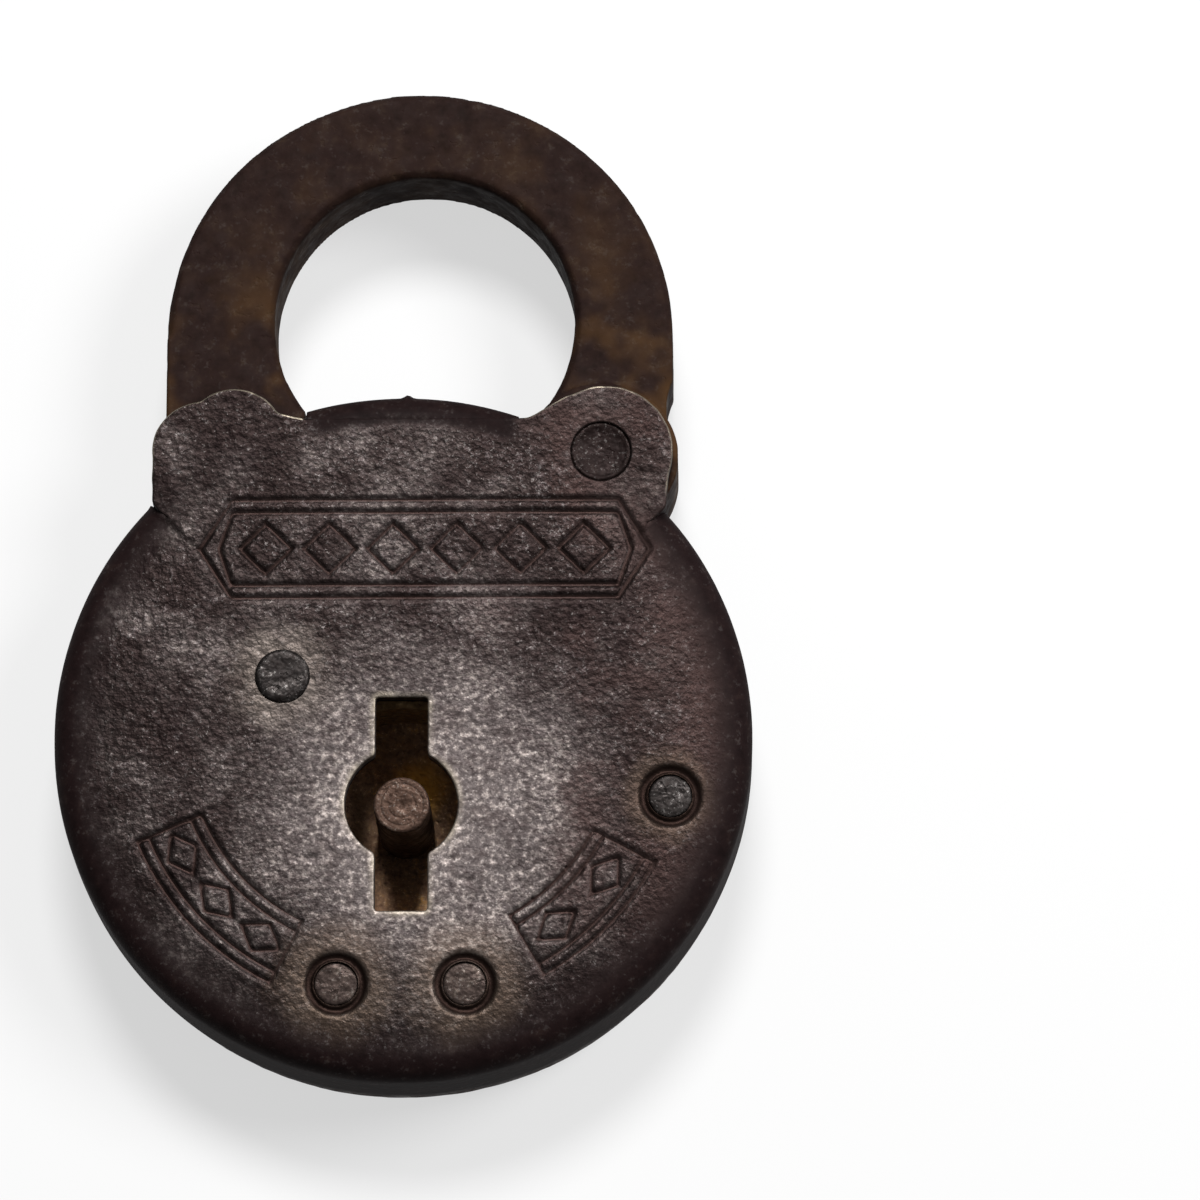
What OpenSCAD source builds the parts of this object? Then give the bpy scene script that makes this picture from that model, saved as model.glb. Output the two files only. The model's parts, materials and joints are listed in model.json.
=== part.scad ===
// Round six-lever padlock with a swinging flat shackle.
// It lies on its back: the back face is z = 0, the face looks up +Z and the shackle points to +Y.
// The origin is the centre of the round case, on its back face. Millimetres.
// Drawn closed, with the key just turned: the dog is drawn back and the lever gates are lined up.

/* [Case] */
// Diameter of the round case
case_d = 57; // [56:0.5:72]
// Thickness of the closed case
case_t = 12.7; // [12.5:0.1:18]
// Thickness of the pressed steel of both shells
wall = 1.5; // [1.2:0.1:1.8]
// Rounding of the front shell's edge
front_round = 2.2; // [1.9:0.1:3]
// Rounding of the back shell's edge
back_round = 1.8; // [1.6:0.1:2.4]
// Height of the seam between the shells
seam_z = 4.2; // [3.5:0.1:6]
// How far the back shell's side stands inside the front shell's
seam_step = 0.25; // [0:0.05:0.4]

/* [Shoulders] */
// Direction of the shackle pivot, seen from the centre of the case
pivot_angle = 55.4; // [52:0.1:58]
// Radius of the round shoulder over the pivot
heel_lug_r = 5.5; // [5:0.1:6.5]
// Radius of the two lobes of the shoulder over the toe
toe_lug_r = 4.2; // [3.8:0.1:5]
// Where the side wall starts again past the toe, seen from the centre of the case
toe_mouth_angle = 137; // [135:0.5:139]
// Where the side wall starts again past the heel, seen from the centre of the case
heel_mouth_angle = 41; // [38:0.5:43]

/* [Shackle] */
// Thickness of the bow
bow_t = 7.4; // [5:0.1:9]
// Width of the bow at its top
bow_top_w = 7.2; // [5:0.1:9]
// Radius of the loop's clear opening
loop_r = 12.4; // [9:0.1:13]
// Height of the loop's centre over the edge of the case
loop_rise = 6.8; // [5:0.1:12]
// Edge bevel of the bow
bow_bevel = 0.5; // [0.2:0.1:1]
// Radius of the forged eye round the pivot
eye_r = 6.3; // [5.6:0.1:6.5]
// Depth of the toe below the edge of its mouth
toe_depth = 6.4; // [6:0.1:8]

/* [Keyway] */
// Radius of the round part of the keyhole
keyhole_r = 4.6; // [3.6:0.1:5.2]
// Width of the keyhole's slot
slot_w = 4.3; // [4.2:0.1:5]
// Reach of the slot from the centre of the post
key_reach = 8.85; // [7.5:0.05:9]
// Radius of the key post
post_r = 2.3; // [1.6:0.1:2.8]
// How far the post's end stands below the face
post_sink = 0.4; // [0:0.1:2]
// Distance of the post's axis from the bottom of the inside wall
post_rise = 21; // [20:0.1:22]

/* [Levers] */
// Thickness of one lever
lever_t = 0.8; // [0.6:0.05:1]
// Free space between one lever and the next
lever_gap = 0.15; // [0.1:0.01:0.2]
// Width of the band of metal round a lever's window
lever_band = 1.8; // [1.4:0.1:2]
// Half the distance between the two lever rivets
lever_spread = 5.2; // [4.8:0.1:5.6]
// Thickness of a lever's leaf spring
leaf_t = 0.4; // [0.3:0.05:0.5]

/* [Dog] */
// Thickness of the locking dog
dog_t = 2.2; // [1.8:0.1:2.4]
// Radius of the fence pin
fence_r = 0.8; // [0.6:0.05:0.9]
// Angle through which the dog is thrown
dog_throw = 15; // [14:0.5:15]

/* [Rivets] */
// Shank radius of the shackle pivot
pivot_r = 2.2; // [1.8:0.1:2.6]
// Shank radius of the other rivets
shank_r = 1.75; // [1.4:0.05:1.9]
// Radius of the dished mark round a rivet's end
dish_r = 2.55; // [2.4:0.05:2.8]
// Depth of that mark
dish_depth = 0.35; // [0.2:0.05:0.5]

/* [Hidden] */
head_step = 0.25;    // step from the pivot's shank to its sunk head
head_t = 0.8;        // thickness of that head
fit = 0.03;          // radial clearance of a rivet in a plate or a spacer
running = 0.06;      // radial clearance of a pivot that turns
clear = 0.3;         // clearance between parts that pass or rest near each other
face_gap = 0.05;     // end clearance of a spacer
eps = 0.01;
case_r = case_d / 2;
inner_r = case_r - wall;
floor_z = wall;
roof_z = case_t - wall;
mid_z = (floor_z + roof_z) / 2;

// Key post, levers and fence
key = [0, post_rise - inner_r];
post_tail_r = post_r - 0.5;               // riveted tail of the post, in the back shell
window_r = key_reach + 0.3;
ring_r = window_r + lever_band;
lever_rivet_drop = ring_r + 3.85;
fence = key + [0, ring_r + 2.35];
tail = fence + [3.2, 0.3];                // end of the dog's fence arm
tail_r = 1.2;
gate_fit = 0.12;                          // clearance of the fence in a gate
gate_sink = 1.3;                          // fence centre below the lever's top edge when seated
lever_pitch = lever_t + lever_gap;
levers_z = floor_z + lever_gap;
levers_top = levers_z + 6 * lever_pitch - lever_gap;
lever_eye_r = shank_r + 1.45;
spacer_r = shank_r + 1.2;
belly = [7.4, 8.1, 7.8, 7.1, 8.3, 7.6];   // the key cut that each lever meets, as a radius
gate_turn = [2.9, 2.1, 2.5, 2.2, 3.1, 1.9]; // how far each lever drops when the dog is thrown
left_rivet = key + [-lever_spread, -lever_rivet_drop];
right_rivet = key + [lever_spread, -lever_rivet_drop];

// Dog: bell crank on the upper left rivet
dog_pivot = key + (ring_r + 3.45) * [cos(132.5), sin(132.5)];
dog_shank_r = shank_r - 0.15;
dog_head_r = shank_r + 0.5;
dog_head_rim = 0.12;                      // height of the head's upright edge
dog_head_bevel = 0.16;                    // height of the bevel over it
dog_z = levers_top + clear;
dog_eye_r = shank_r + 1.6;

// Shackle
pivot = case_r * [cos(pivot_angle), sin(pivot_angle)];
toe_mouth_x = -7.6;
heel_mouth_x = pivot[0] - eye_r - 0.45;
toe_corner = inner_r * [cos(toe_mouth_angle), sin(toe_mouth_angle)];
toe_sweep_r = norm(pivot - toe_corner) - clear - 0.1;
toe_left = pivot[0] - toe_sweep_r;
toe_right = toe_mouth_x - 0.6;
heel_right = pivot[0] + eye_r - 0.4;
bow_r = (heel_right - toe_left) / 2;
bow_c = [(heel_right + toe_left) / 2, case_r + loop_rise + loop_r + bow_top_w - bow_r];
loop_c = [bow_c[0] + 0.4, case_r + loop_rise];
toe_tip_y = toe_corner[1] + 1 - toe_depth;
end_t = roof_z - floor_z - 2 * clear;
nose_y = toe_tip_y + 4.2;
waist_r = 6;                              // hollow in the leg just over the eye
waist_depth = 0.55;
notch = [[toe_right - 5.8, toe_tip_y + 2.6], [toe_right + 1, toe_tip_y + 6.8]];
lip_right = toe_right - 2;
toe_nib = 0.8;                            // corner taken off the toe's tip
spur_y = 8.2;                             // reach of the spur under the eye

// Radial lines along which the side wall is cut, shared by the mouths and the plates over them
toe_cut = [0.6 * toe_corner, 2 * toe_corner];
heel_dir = [cos(heel_mouth_angle), sin(heel_mouth_angle)];
heel_cut = [0.7 * inner_r * heel_dir, case_d * heel_dir];

// Spring anchor on the right rivet, and the heights of the two springs that it holds
anchor = [inner_r - 5.2, key[1] + 0.6];
anchor_r = shank_r + 0.95;
dog_spring_z = dog_z + clear;
dog_spring_top = dog_z + dog_t - clear;
bow_spring_z = mid_z - 2.4;
bow_spring_top = mid_z + 1;
bow_leaf_t = leaf_t + 0.1;

SIDES = ["left", "right"];

STEEL_FACE = "#5a4f4d";
STEEL_BACK = "#4b4140";
STEEL_BOW = "#4a3d32";
RIVET = "#6a5a50";
POST = "#7d655c";
BRASS = "#9a8350";
INNER = "#6b5a3a";
SPRING = "#55555a";

// ---- shared shapes ----

module at(p) { translate([p[0], p[1], 0]) children(); }

module disc(p, r) { at(p) circle(r, $fn = 96); }

// Two round ends joined by straight tangent flanks. Outlines run counterclockwise throughout.
module link(a, b, ra, rb) {
    d = norm(b - a);
    u = (b - a) / d;
    side = [-u[1], u[0]];
    lean = (ra - rb) / d;
    out = sqrt(1 - lean * lean);
    disc(a, ra);
    disc(b, rb);
    polygon([a + ra * (u * lean - side * out), b + rb * (u * lean - side * out),
             b + rb * (u * lean + side * out), a + ra * (u * lean + side * out)]);
}

// Bent strip from a to b that bulges by sag: to the left of that line, or to the right if negative.
module leaf(a, b, sag, t) {
    chord = norm(b - a);
    u = (b - a) / chord;
    side = sign(sag) * [-u[1], u[0]];
    rise = abs(sag);
    r = (chord * chord / 4 + rise * rise) / (2 * rise);
    c = (a + b) / 2 - side * (r - rise);
    intersection() {
        difference() {
            disc(c, r + t / 2);
            disc(c, r - t / 2);
        }
        polygon([c, c + (a - c) * 1.6, c + side * r * 2.4, c + (b - c) * 1.6]);
    }
}

function turned(p, about, angle) =
    about + [(p - about) * [cos(angle), -sin(angle)], (p - about) * [sin(angle), cos(angle)]];

module slab(z0, z1) { translate([0, 0, z0]) linear_extrude(z1 - z0) children(); }

module tube(p, r, bore, z0, z1) {
    slab(z0, z1) difference() {
        disc(p, r);
        disc(p, bore);
    }
}

// ---- case ----

// Round shoulders that cover the shackle's ends, drawn alike on both shells.
module shoulders() {
    top = case_r - front_round;
    disc(pivot + [0.4, 0], heel_lug_r);
    disc([toe_left + toe_lug_r - 0.9, toe_corner[1] + 5.2], toe_lug_r);
    disc([toe_left + toe_lug_r + 1.6, toe_corner[1] + 6.2], toe_lug_r);
    polygon([[-0.6 * case_r, 0], [0.6 * case_r, 0],
             case_r * heel_dir, pivot + [5.6, -1],
             pivot + [-2.6, 4.8], [pivot[0] - 6, top], [toe_mouth_x - 0.6, top],
             [toe_left + 9, top + 0.6], [toe_left + 6, toe_corner[1] + 9],
             [toe_left - 0.9, toe_corner[1] + 4.5], toe_corner * 1.04 + [0, -0.5]]);
}

// The two gaps in the side wall through which the shackle's ends pass.
module mouths(z0, z1) {
    far = 2 * case_r;
    slab(z0, z1) {
        polygon([[toe_mouth_x, toe_corner[1] * 0.8], [toe_mouth_x, far], [toe_corner[0], far],
                 toe_cut[1], toe_cut[0]]);
        polygon([[heel_mouth_x, pivot[1] - 7], heel_cut[0], heel_cut[1], [far, far], [heel_mouth_x, far]]);
    }
}

// Half section of a round cup: flat floor at the top, rounded edge, side wall down to z0.
module cup_section(r, z0, z1, edge) {
    difference() {
        union() {
            translate([0, z0]) square([r, z1 - z0 - edge]);
            translate([0, z0]) square([r - edge, z1 - z0]);
            translate([r - edge, z1 - edge]) circle(edge, $fn = 64);
        }
        translate([-1, z0 - 1]) square([r - wall + 1, z1 - z0 + 1 - edge]);
        translate([-1, z0 - 1]) square([r - edge + 1, z1 - z0 + 1 - wall]);
        translate([r - edge, z1 - edge]) circle(edge - wall, $fn = 48);
    }
}

module keyhole() {
    disc(key, keyhole_r);
    at(key) square([slot_w, 2 * key_reach], center = true);
}

module front_case() {
    color(STEEL_FACE) difference() {
        union() {
            difference() {
                rotate_extrude($fn = 180) cup_section(case_r, seam_z, case_t, front_round);
                mouths(seam_z - 1, case_t + 1);
            }
            slab(roof_z, case_t) intersection() {
                shoulders();
                union() {
                    disc([0, 0], case_r - front_round);
                    mouth_cover();
                }
            }
        }
        slab(roof_z - 1, case_t + 1) {
            keyhole();
            disc(pivot, pivot_r + fit);
            disc(dog_pivot, dog_shank_r + fit);
            for (p = [left_rivet, right_rivet, anchor]) disc(p, shank_r + fit);
        }
        slab(case_t - dish_depth, case_t + 1)
            for (p = [left_rivet, right_rivet, anchor]) disc(p, dish_r);
        slab(case_t - head_t, case_t + 1) disc(pivot, pivot_r + head_step + fit);
    }
}

// The area over the mouths where the flat plate runs on past the rounded edge.
module mouth_cover() {
    far = 2 * case_r;
    polygon([[0, 0], heel_cut[0], heel_cut[1], [far, far], [-far, far], toe_cut[1], toe_cut[0]]);
}

module back_case() {
    color(STEEL_BACK) difference() {
        union() {
            difference() {
                translate([0, 0, seam_z]) mirror([0, 0, 1])
                    rotate_extrude($fn = 180) cup_section(case_r - seam_step, 0, seam_z, back_round);
                mouths(-1, seam_z + 1);
            }
            slab(0, floor_z) intersection() {
                shoulders();
                union() {
                    disc([0, 0], case_r - front_round);
                    mouth_cover();
                }
            }
        }
        slab(-1, floor_z + 1) {
            disc(key, post_tail_r + fit);
            disc(pivot, pivot_r + fit);
            disc(dog_pivot, dog_shank_r + fit);
            for (p = [left_rivet, right_rivet, anchor]) disc(p, shank_r + fit);
        }
    }
}

module key_post() {
    color(POST) {
        slab(face_gap, floor_z + face_gap) disc(key, post_tail_r);
        slab(floor_z + face_gap, case_t - post_sink) disc(key, post_r);
    }
}

// A plain rivet through both shells, its end peened flush in the dished mark.
module plain_rivet(p) { color(RIVET) slab(face_gap, case_t - 0.15) disc(p, shank_r); }

module left_lever_rivet() { plain_rivet(left_rivet); }
module right_lever_rivet() { plain_rivet(right_rivet); }
module spring_rivet() { plain_rivet(anchor); }

// The shackle's pivot has a head sunk flush in the front shell.
module pivot_rivet() {
    color(RIVET) {
        slab(face_gap, case_t - head_t) disc(pivot, pivot_r);
        slab(case_t - head_t, case_t - face_gap) disc(pivot, pivot_r + head_step);
    }
}

// The dog's pivot has a low bevelled head that stands on the face.
module dog_rivet() {
    color(RIVET) {
        slab(face_gap, case_t) disc(dog_pivot, dog_shank_r);
        slab(case_t, case_t + dog_head_rim) disc(dog_pivot, dog_head_r);
        at(dog_pivot) translate([0, 0, case_t + dog_head_rim])
            cylinder(r1 = dog_head_r, r2 = dog_head_r - 0.3, h = dog_head_bevel, $fn = 96);
    }
}

// ---- shackle ----

module shackle_outline() {
    difference() {
        union() {
            intersection() {
                disc(bow_c, bow_r);
                translate([toe_left, pivot[1]]) square(2 * bow_r);
            }
            translate([toe_left, pivot[1]]) square([2 * bow_r, bow_c[1] - pivot[1]]);
            toe_outline();
        }
        disc(loop_c, loop_r);
        translate([toe_right, toe_tip_y - 1])
            square([pivot[0] - toe_right, case_r - 0.6 - (toe_tip_y - 1)]);
        disc([heel_right + waist_r - waist_depth, pivot[1] + 4.2], waist_r);
    }
    disc(pivot, eye_r);
    spur_outline();
}

// The toe's outer edge is struck from the pivot, so that it swings clear of the side wall.
module toe_outline() {
    intersection() {
        disc(pivot, toe_sweep_r);
        polygon([[toe_left - 2, pivot[1] + eps], [toe_left - 2, toe_tip_y + 3],
                 [toe_left + 3.2, toe_tip_y], [lip_right - toe_nib, toe_tip_y],
                 [lip_right, toe_tip_y + toe_nib], [lip_right, toe_tip_y + 4],
                 [toe_right + 1, toe_tip_y + 6], [toe_right + 1, pivot[1] + eps]]);
    }
}

// Spur under the eye that the shackle spring bears on.
module spur_outline() {
    polygon([pivot + [-1.2, -spur_y], pivot + [1.2, -spur_y], pivot + [1.8, -3], pivot + [-1.6, -3]]);
}

// Bevel cutter for one face: everything outside the bow and inside the loop's edge.
module bow_bevels() {
    for (flip = [0, 1]) translate([0, 0, mid_z]) mirror([0, 0, flip]) translate([0, 0, bow_t / 2]) {
        at(loop_c) translate([0, 0, -bow_bevel])
            cylinder(r1 = loop_r, r2 = loop_r + bow_bevel + eps, h = bow_bevel + eps, $fn = 96);
        intersection() {
            difference() {
                at(bow_c) translate([0, 0, -bow_bevel])
                    cylinder(r = bow_r + 1, h = bow_bevel + 1, $fn = 96);
                at(bow_c) translate([0, 0, -bow_bevel - eps])
                    cylinder(r1 = bow_r + eps, r2 = bow_r - bow_bevel - eps, h = bow_bevel + 2 * eps,
                             $fn = 96);
            }
            translate([bow_c[0] - 2 * bow_r, bow_c[1], -2]) cube([4 * bow_r, 2 * bow_r, 4]);
        }
    }
}

module shackle() {
    color(STEEL_BOW) difference() {
        union() {
            difference() {
                slab(mid_z - bow_t / 2, mid_z + bow_t / 2) shackle_outline();
                bow_bevels();
            }
            slab(mid_z - end_t / 2, mid_z + end_t / 2) {
                disc(pivot, eye_r);
                spur_outline();
                intersection() {
                    shackle_outline();
                    translate([toe_left - 5, toe_tip_y - 1])
                        square([toe_right - toe_left + 5, pivot[1] - toe_tip_y + 2.5]);
                }
            }
        }
        slab(-1, case_t + 1) {
            disc(pivot, pivot_r + running);
            translate(notch[0]) square(notch[1] - notch[0]);
        }
    }
}

// ---- dog ----

module locking_dog() {
    elbow = dog_pivot + [3.9, 5.6];
    arm_r = 1.6;
    nose_r = 1.3;
    root_r = dog_eye_r - 0.6;
    neck = [toe_right + 2.9, nose_y];
    tip = [lip_right + 1.8, nose_y];
    color(BRASS) slab(dog_z, dog_z + dog_t) difference() {
        union() {
            link(dog_pivot, elbow, root_r, arm_r);
            link(elbow, neck, arm_r, nose_r + 0.1);
            link(neck, tip, nose_r + 0.1, nose_r);
            link(dog_pivot, fence, root_r, arm_r + 0.1);
            link(fence, tail, arm_r + 0.1, tail_r);
            disc(dog_pivot, dog_eye_r);
        }
        disc(dog_pivot, dog_shank_r + running);
        disc(fence, fence_r + fit);
    }
}

module fence_pin() { color(SPRING) slab(floor_z + 0.2, dog_z + dog_t) disc(fence, fence_r); }

module dog_spacer() {
    color(INNER)
        tube(dog_pivot, dog_shank_r + 0.6, dog_shank_r + fit, floor_z + face_gap, dog_z - face_gap);
}

module dog_washer() {
    color(INNER)
        tube(dog_pivot, dog_shank_r + 1.2, dog_shank_r + fit, dog_z + dog_t + face_gap, roof_z - face_gap);
}

// ---- levers ----

function side_sign(side) = side == "left" ? -1 : 1;
function lever_rivet(side) = side == "left" ? left_rivet : right_rivet;
function lever_level(side, i) = 2 * (i - 1) + (side == "left" ? 0 : 1);
function level_z(level) = levers_z + level * lever_pitch;

// Leaf of a lever, from its root in the eye to near the side wall.
module lever_leaf(side, t) {
    s = side_sign(side);
    root = lever_rivet(side) + [s * (shank_r + 0.75), 0.9];
    reach = (inner_r - clear - 0.1) * [s * cos(32), -sin(32)];
    leaf(root, reach, s * -0.9, t);
}

// The gate: the path of the fence seen from a lever, as both turn between drawn and thrown.
module gate_path(side, level) {
    p = lever_rivet(side);
    turn = side_sign(side) * gate_turn[level];
    last = 5;
    path = [for (k = [0:last])
        turned(turned(fence, dog_pivot, dog_throw * k / (last - 1)), p, -turn * k / (last - 1))];
    along = [for (k = [0:last]) path[min(k + 1, last)] - path[max(k - 1, 0)]];
    off = [for (d = along) (fence_r + gate_fit - 0.02) / norm(d) * [d[1], -d[0]]];
    disc(path[0], fence_r + gate_fit);
    polygon(concat([for (k = [0:last]) path[k] + off[k]], [for (k = [last:-1:0]) path[k] - off[k]]));
}

module lever(side, i) {
    s = side_sign(side);
    level = lever_level(side, i);
    p = lever_rivet(side);
    head_r = norm(fence + [0, gate_sink] - p);
    color(BRASS) slab(level_z(level), level_z(level) + lever_t) difference() {
        union() {
            difference() {
                union() {
                    disc(key, ring_r);
                    link(p, key + [s * 3.2, -ring_r + 2.4], lever_eye_r, 2.4);
                    intersection() {
                        at(key) translate([-4.4, window_r]) square([8.8, fence[1] - key[1] - window_r + 3]);
                        disc(p, head_r);
                    }
                }
                disc(key, window_r);
            }
            intersection() {
                disc(key + [s * (belly[level] + 3), 0], 3);
                disc(key, window_r + 0.5);
            }
        }
        disc(p, shank_r + running);
        gate_path(side, level);
        intersection() {
            lever_leaf(side, leaf_t + 0.04);
            disc(p, lever_eye_r + 1);
        }
    }
}

module lever_spring(side, i) {
    z = level_z(lever_level(side, i));
    color(SPRING) slab(z + face_gap, z + lever_t - face_gap) lever_leaf(side, leaf_t);
}

// Spacers fill each lever rivet between its own levers; the fourth one reaches the front shell.
module spacer(side, i) {
    low = [for (k = [1:3]) level_z(lever_level(side, k))];
    z0 = side == "left" ? low[i - 1] + lever_t + face_gap
                        : (i == 1 ? floor_z : low[i - 2] + lever_t) + face_gap;
    z1 = side == "left" ? (i == 3 ? roof_z : low[i]) - face_gap
                        : (i == 4 ? roof_z : low[i - 1]) - face_gap;
    color(INNER) tube(lever_rivet(side), spacer_r, shank_r + fit, z0, z1);
}

// ---- springs on the right rivet ----

module dog_leaf(t) {
    leaf(anchor + [-1.9, 1.2], tail - [0.3, tail_r + clear + leaf_t / 2 + 0.1], -2.4, t);
}

module shackle_leaf(t) {
    leaf(anchor + [0.5, 2.2], pivot + [1.3 + clear + leaf_t / 2, 0.6 - spur_y], -2.2, t);
}

module dog_spring() { color(SPRING) slab(dog_spring_z, dog_spring_top) dog_leaf(leaf_t); }

module shackle_spring() { color(SPRING) slab(bow_spring_z, bow_spring_top) shackle_leaf(bow_leaf_t); }

module spring_bush() {
    color(INNER) difference() {
        tube(anchor, anchor_r, shank_r + fit, floor_z + face_gap, roof_z - face_gap);
        slab(dog_spring_z - fit, roof_z) dog_leaf(leaf_t + 2 * fit);
        slab(bow_spring_z - fit, roof_z) shackle_leaf(bow_leaf_t + 2 * fit);
    }
}

front_case();
back_case();
shackle();
pivot_rivet();
dog_rivet();
left_lever_rivet();
right_lever_rivet();
spring_rivet();
key_post();
locking_dog();
fence_pin();
dog_spacer();
dog_washer();
dog_spring();
shackle_spring();
spring_bush();
for (s = SIDES, i = [1:3]) lever(s, i);
for (s = SIDES, i = [1:3]) lever_spring(s, i);
for (i = [1:3]) spacer("left", i);
for (i = [1:4]) spacer("right", i);
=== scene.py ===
"""Rusty round padlock: pressed shells, flat shackle, rivets and key post, with a lever mechanism inside.

Shapes are worked out in millimetres and written to the meshes in metres.
"""

import json
import math

import bmesh
import bpy
import numpy as np
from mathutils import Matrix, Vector
from mathutils.geometry import delaunay_2d_cdt
from mathutils.kdtree import KDTree


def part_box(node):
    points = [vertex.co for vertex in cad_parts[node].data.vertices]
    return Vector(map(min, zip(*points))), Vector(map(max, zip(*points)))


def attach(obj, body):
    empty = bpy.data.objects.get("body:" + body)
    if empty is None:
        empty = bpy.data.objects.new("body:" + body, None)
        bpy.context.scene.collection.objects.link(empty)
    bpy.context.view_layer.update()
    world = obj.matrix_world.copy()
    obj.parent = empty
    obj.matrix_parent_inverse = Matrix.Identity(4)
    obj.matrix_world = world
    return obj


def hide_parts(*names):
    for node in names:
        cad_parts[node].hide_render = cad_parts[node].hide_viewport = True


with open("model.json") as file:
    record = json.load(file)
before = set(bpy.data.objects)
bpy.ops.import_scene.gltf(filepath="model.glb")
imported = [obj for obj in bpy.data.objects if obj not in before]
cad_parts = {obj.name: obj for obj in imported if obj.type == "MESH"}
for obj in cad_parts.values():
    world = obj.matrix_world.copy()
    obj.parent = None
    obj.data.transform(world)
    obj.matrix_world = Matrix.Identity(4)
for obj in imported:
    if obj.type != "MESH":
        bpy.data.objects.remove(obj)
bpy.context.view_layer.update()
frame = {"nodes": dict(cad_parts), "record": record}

MM = 0.001
LATTICE = np.random.RandomState(11).rand(64, 64, 64)


# ---- helpers for shapes ----

def box_mm(node):
    low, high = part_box(node)
    return np.array(low) / MM, np.array(high) / MM


def centre(node):
    """Middle of a node, seen from above."""
    low, high = box_mm(node)
    return (low[:2] + high[:2]) / 2


def radius_of(node):
    """Half of a node's width along x."""
    low, high = box_mm(node)
    return (high[0] - low[0]) / 2


def noise(points, size, seed=0):
    """Smooth noise from -1 to 1 at points in mm, with features of about that size."""
    q = np.asarray(points, float) / size + 1000 + 17.31 * seed
    cell = np.floor(q).astype(int)
    f = q - cell
    f = f * f * (3 - 2 * f)
    total = np.zeros(len(q))
    for dx in (0, 1):
        for dy in (0, 1):
            for dz in (0, 1):
                weight = 1.0
                for axis, d in enumerate((dx, dy, dz)):
                    weight = weight * (f[:, axis] if d else 1 - f[:, axis])
                total += weight * LATTICE[tuple((cell + (dx, dy, dz)).T % 64)]
    return 2 * total - 1


def ramp(x, low, high):
    """0 below low, 1 above high, smooth in between."""
    t = np.clip((x - low) / (high - low), 0, 1)
    return t * t * (3 - 2 * t)


def spaced(points, step):
    """Points along a closed loop, no further apart than step."""
    out = []
    for a, b in zip(points, np.roll(points, -1, axis=0)):
        n = max(1, math.ceil(np.linalg.norm(b - a) / step - 1e-6))
        out += [a + (b - a) * k / n for k in range(n)]
    return np.array(out)


def round_off(loop, turns, keep=None):
    """Rounds a closed loop's corners a little; keep marks points that stay."""
    for _ in range(turns):
        soft = loop / 2 + (np.roll(loop, 1, axis=0) + np.roll(loop, -1, axis=0)) / 4
        loop = soft if keep is None else np.where(keep[:, None], loop, soft)
    return loop


def ring(at, r, count):
    angles = -np.arange(count) * 2 * math.pi / count
    return np.array(at) + r * np.stack([np.cos(angles), np.sin(angles)], 1)


def left_of(loop):
    """Unit normals to the left of a closed loop, which is the side with metal."""
    along = np.roll(loop, -1, axis=0) - np.roll(loop, 1, axis=0)
    along /= np.linalg.norm(along, axis=1)[:, None]
    return np.stack([-along[:, 1], along[:, 0]], 1)


def is_inside(points, loops):
    hit = np.zeros(len(points), bool)
    x, y = points.T
    for loop in loops:
        for a, b in zip(loop, np.roll(loop, -1, axis=0)):
            if a[1] == b[1]:
                continue
            crosses = ((a[1] > y) != (b[1] > y)) & (x < (b[0] - a[0]) * (y - a[1]) / (b[1] - a[1]) + a[0])
            hit ^= crosses
    return hit


def to_lines(points, lines):
    """Distance from each point to the nearest of the line segments."""
    best = np.full(len(points), 1e9)
    for a, b in lines:
        ab = b - a
        t = np.clip(((points - a) @ ab) / (ab @ ab), 0, 1)
        best = np.minimum(best, np.linalg.norm(points - a - t[:, None] * ab, axis=1))
    return best


def triangles(loops, extra):
    """Triangles over the area between loops, through the extra points as well."""
    rim = np.concatenate(loops)
    points = np.concatenate([rim, extra]) if len(extra) else rim
    edges, start = [], 0
    for loop in loops:
        n = len(loop)
        edges += [(start + k, start + (k + 1) % n) for k in range(n)]
        start += n
    verts, _, faces, origin, _, _ = delaunay_2d_cdt([Vector(p) for p in points], edges, [], 0, 1e-7)
    names = np.array([o[0] for o in origin])
    faces = np.array([f[:] for f in faces])
    flat = np.array([v[:] for v in verts])
    return names[faces[is_inside(flat[faces].mean(1), loops)]]


def search_tree(points):
    """Nearest-point search over points in the plane or in space."""
    tree = KDTree(len(points))
    for k, p in enumerate(points):
        tree.insert((*p, 0)[:3], k)
    tree.balance()
    return tree


def put(name, data):
    """A new object in the scene."""
    piece = bpy.data.objects.new(name, data)
    bpy.context.scene.collection.objects.link(piece)
    return piece


def new_mesh(name, verts, faces):
    """A mesh piece from points in mm, with stray points removed and all faces outward."""
    mesh = bpy.data.meshes.new(name)
    mesh.from_pydata([tuple(v) for v in np.asarray(verts) * MM], [], [tuple(int(i) for i in f) for f in faces])
    bm = bmesh.new()
    bm.from_mesh(mesh)
    bmesh.ops.remove_doubles(bm, verts=bm.verts, dist=1e-7)
    bmesh.ops.delete(bm, geom=[v for v in bm.verts if not v.link_faces], context="VERTS")
    bmesh.ops.recalc_face_normals(bm, faces=bm.faces)
    bm.to_mesh(mesh)
    bm.free()
    mesh.polygons.foreach_set("use_smooth", [True] * len(mesh.polygons))
    return put(name, mesh)


def points_of(mesh):
    co = np.empty(len(mesh.vertices) * 3)
    mesh.vertices.foreach_get("co", co)
    return co.reshape(-1, 3) / MM


def normals_of(mesh):
    n = np.empty(len(mesh.vertices) * 3)
    mesh.vertex_normals.foreach_get("vector", n)
    return n.reshape(-1, 3)


def set_points(mesh, points):
    mesh.vertices.foreach_set("co", (np.asarray(points) * MM).ravel())
    mesh.update()


def mark(mesh, name, values):
    """Keeps a number per point on the mesh, for its material."""
    mesh.attributes.new(name, "FLOAT", "POINT").data.foreach_set("value", np.asarray(values, float))


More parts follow.
